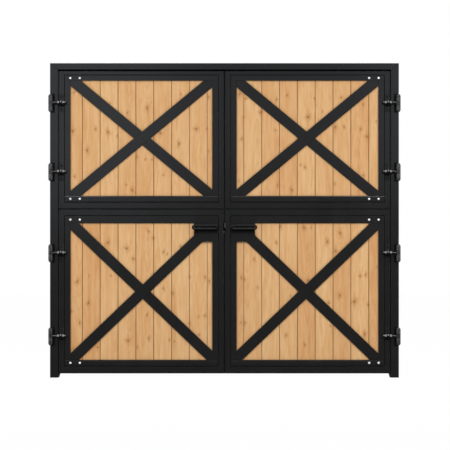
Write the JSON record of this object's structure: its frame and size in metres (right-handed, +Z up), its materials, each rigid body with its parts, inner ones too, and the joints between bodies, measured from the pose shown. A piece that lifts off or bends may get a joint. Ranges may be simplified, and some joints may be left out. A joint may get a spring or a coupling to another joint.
{
  "type": "dutch stable door",
  "caption": "Double Dutch stable door in a black steel frame: pine-boarded upper and lower leaves with flat X-braces swing on pin hinges, with loop pulls, latch bolts and tie bolts.",
  "frame": {"origin": "on the floor under the middle of the doorway, halfway through the depth of the whole door", "axes": "+X across the door to the right seen from the front, +Y from the front to the back, +Z up"},
  "size_m": [2.604, 0.14, 2.326],
  "materials": {
    "frame_black": "satin black powder coat",
    "leaf_black": "satin black powder coat",
    "strip_black": "satin black powder coat",
    "hinge_black": "gloss black",
    "pine": "clear-oiled pine with knots",
    "bright_bolt": "bright zinc",
    "latch_steel": "bright steel",
    "tie_black": "satin black"
  },
  "bodies": {
    "frame": {"left_jamb": "frame_black", "right_jamb": "frame_black", "head": "frame_black", "left_hinge_brackets": "hinge_black", "right_hinge_brackets": "hinge_black", "left_hinge_pins": "hinge_black", "right_hinge_pins": "hinge_black", "hinge_bracket_screws": "hinge_black"},
    "upper_left_leaf": {"upper_left_leaf_frame": "leaf_black", "upper_left_strips": "strip_black", "upper_left_boards": "pine", "upper_left_long_brace": "strip_black", "upper_left_short_braces": "strip_black", "upper_left_strip_bolts": "bright_bolt", "upper_left_screws": "hinge_black", "upper_left_hinge_arms": "hinge_black", "upper_left_hinge_saddles": "hinge_black", "upper_left_hinge_nuts": "hinge_black", "left_tie_guide": "tie_black"},
    "upper_right_leaf": {"upper_right_leaf_frame": "leaf_black", "upper_right_strips": "strip_black", "upper_right_boards": "pine", "upper_right_long_brace": "strip_black", "upper_right_short_braces": "strip_black", "upper_right_strip_bolts": "bright_bolt", "upper_right_screws": "hinge_black", "upper_right_hinge_arms": "hinge_black", "upper_right_hinge_saddles": "hinge_black", "upper_right_hinge_nuts": "hinge_black", "right_tie_guide": "tie_black"},
    "lower_left_leaf": {"lower_left_leaf_frame": "leaf_black", "lower_left_strips": "strip_black", "lower_left_boards": "pine", "lower_left_long_brace": "strip_black", "lower_left_short_braces": "strip_black", "lower_left_strip_bolts": "bright_bolt", "lower_left_screws": "hinge_black", "lower_left_hinge_arms": "hinge_black", "lower_left_hinge_saddles": "hinge_black", "lower_left_hinge_nuts": "hinge_black", "left_lock_plate": "strip_black", "left_tie_keeper": "tie_black"},
    "lower_right_leaf": {"lower_right_leaf_frame": "leaf_black", "lower_right_strips": "strip_black", "lower_right_boards": "pine", "lower_right_long_brace": "strip_black", "lower_right_short_braces": "strip_black", "lower_right_strip_bolts": "bright_bolt", "lower_right_screws": "hinge_black", "lower_right_hinge_arms": "hinge_black", "lower_right_hinge_saddles": "hinge_black", "lower_right_hinge_nuts": "hinge_black", "right_lock_plate": "strip_black", "right_tie_keeper": "tie_black"},
    "left_latch": {"left_pull": "hinge_black", "left_latch_bolt": "latch_steel"},
    "left_tie": {"left_tie_rod": "latch_steel"},
    "right_latch": {"right_pull": "hinge_black", "right_latch_bolt": "latch_steel"},
    "right_tie": {"right_tie_rod": "latch_steel"}
  },
  "joints": [
    {"name": "upper_left_hinge", "type": "hinge", "parent": "frame", "child": "upper_left_leaf", "pos_m": [-1.285, -0.044, 1.775], "axis": [0, 0, -1], "range_deg": [0, 170]},
    {"name": "upper_right_hinge", "type": "hinge", "parent": "frame", "child": "upper_right_leaf", "pos_m": [1.285, -0.044, 1.775], "axis": [0, 0, 1], "range_deg": [0, 170]},
    {"name": "lower_left_hinge", "type": "hinge", "parent": "frame", "child": "lower_left_leaf", "pos_m": [-1.285, -0.044, 0.6125], "axis": [0, 0, -1], "range_deg": [0, 170]},
    {"name": "lower_right_hinge", "type": "hinge", "parent": "frame", "child": "lower_right_leaf", "pos_m": [1.285, -0.044, 0.6125], "axis": [0, 0, 1], "range_deg": [0, 170]},
    {"name": "left_latch_slide", "type": "slide", "parent": "lower_left_leaf", "child": "left_latch", "axis": [1, 0, 0], "range_m": [0, 0.018]},
    {"name": "left_tie_slide", "type": "slide", "parent": "upper_left_leaf", "child": "left_tie", "axis": [0, 0, -1], "range_m": [0, 0.044]},
    {"name": "right_latch_slide", "type": "slide", "parent": "lower_right_leaf", "child": "right_latch", "axis": [-1, 0, 0], "range_m": [0, 0.018]},
    {"name": "right_tie_slide", "type": "slide", "parent": "upper_right_leaf", "child": "right_tie", "axis": [0, 0, -1], "range_m": [0, 0.044]}
  ]
}
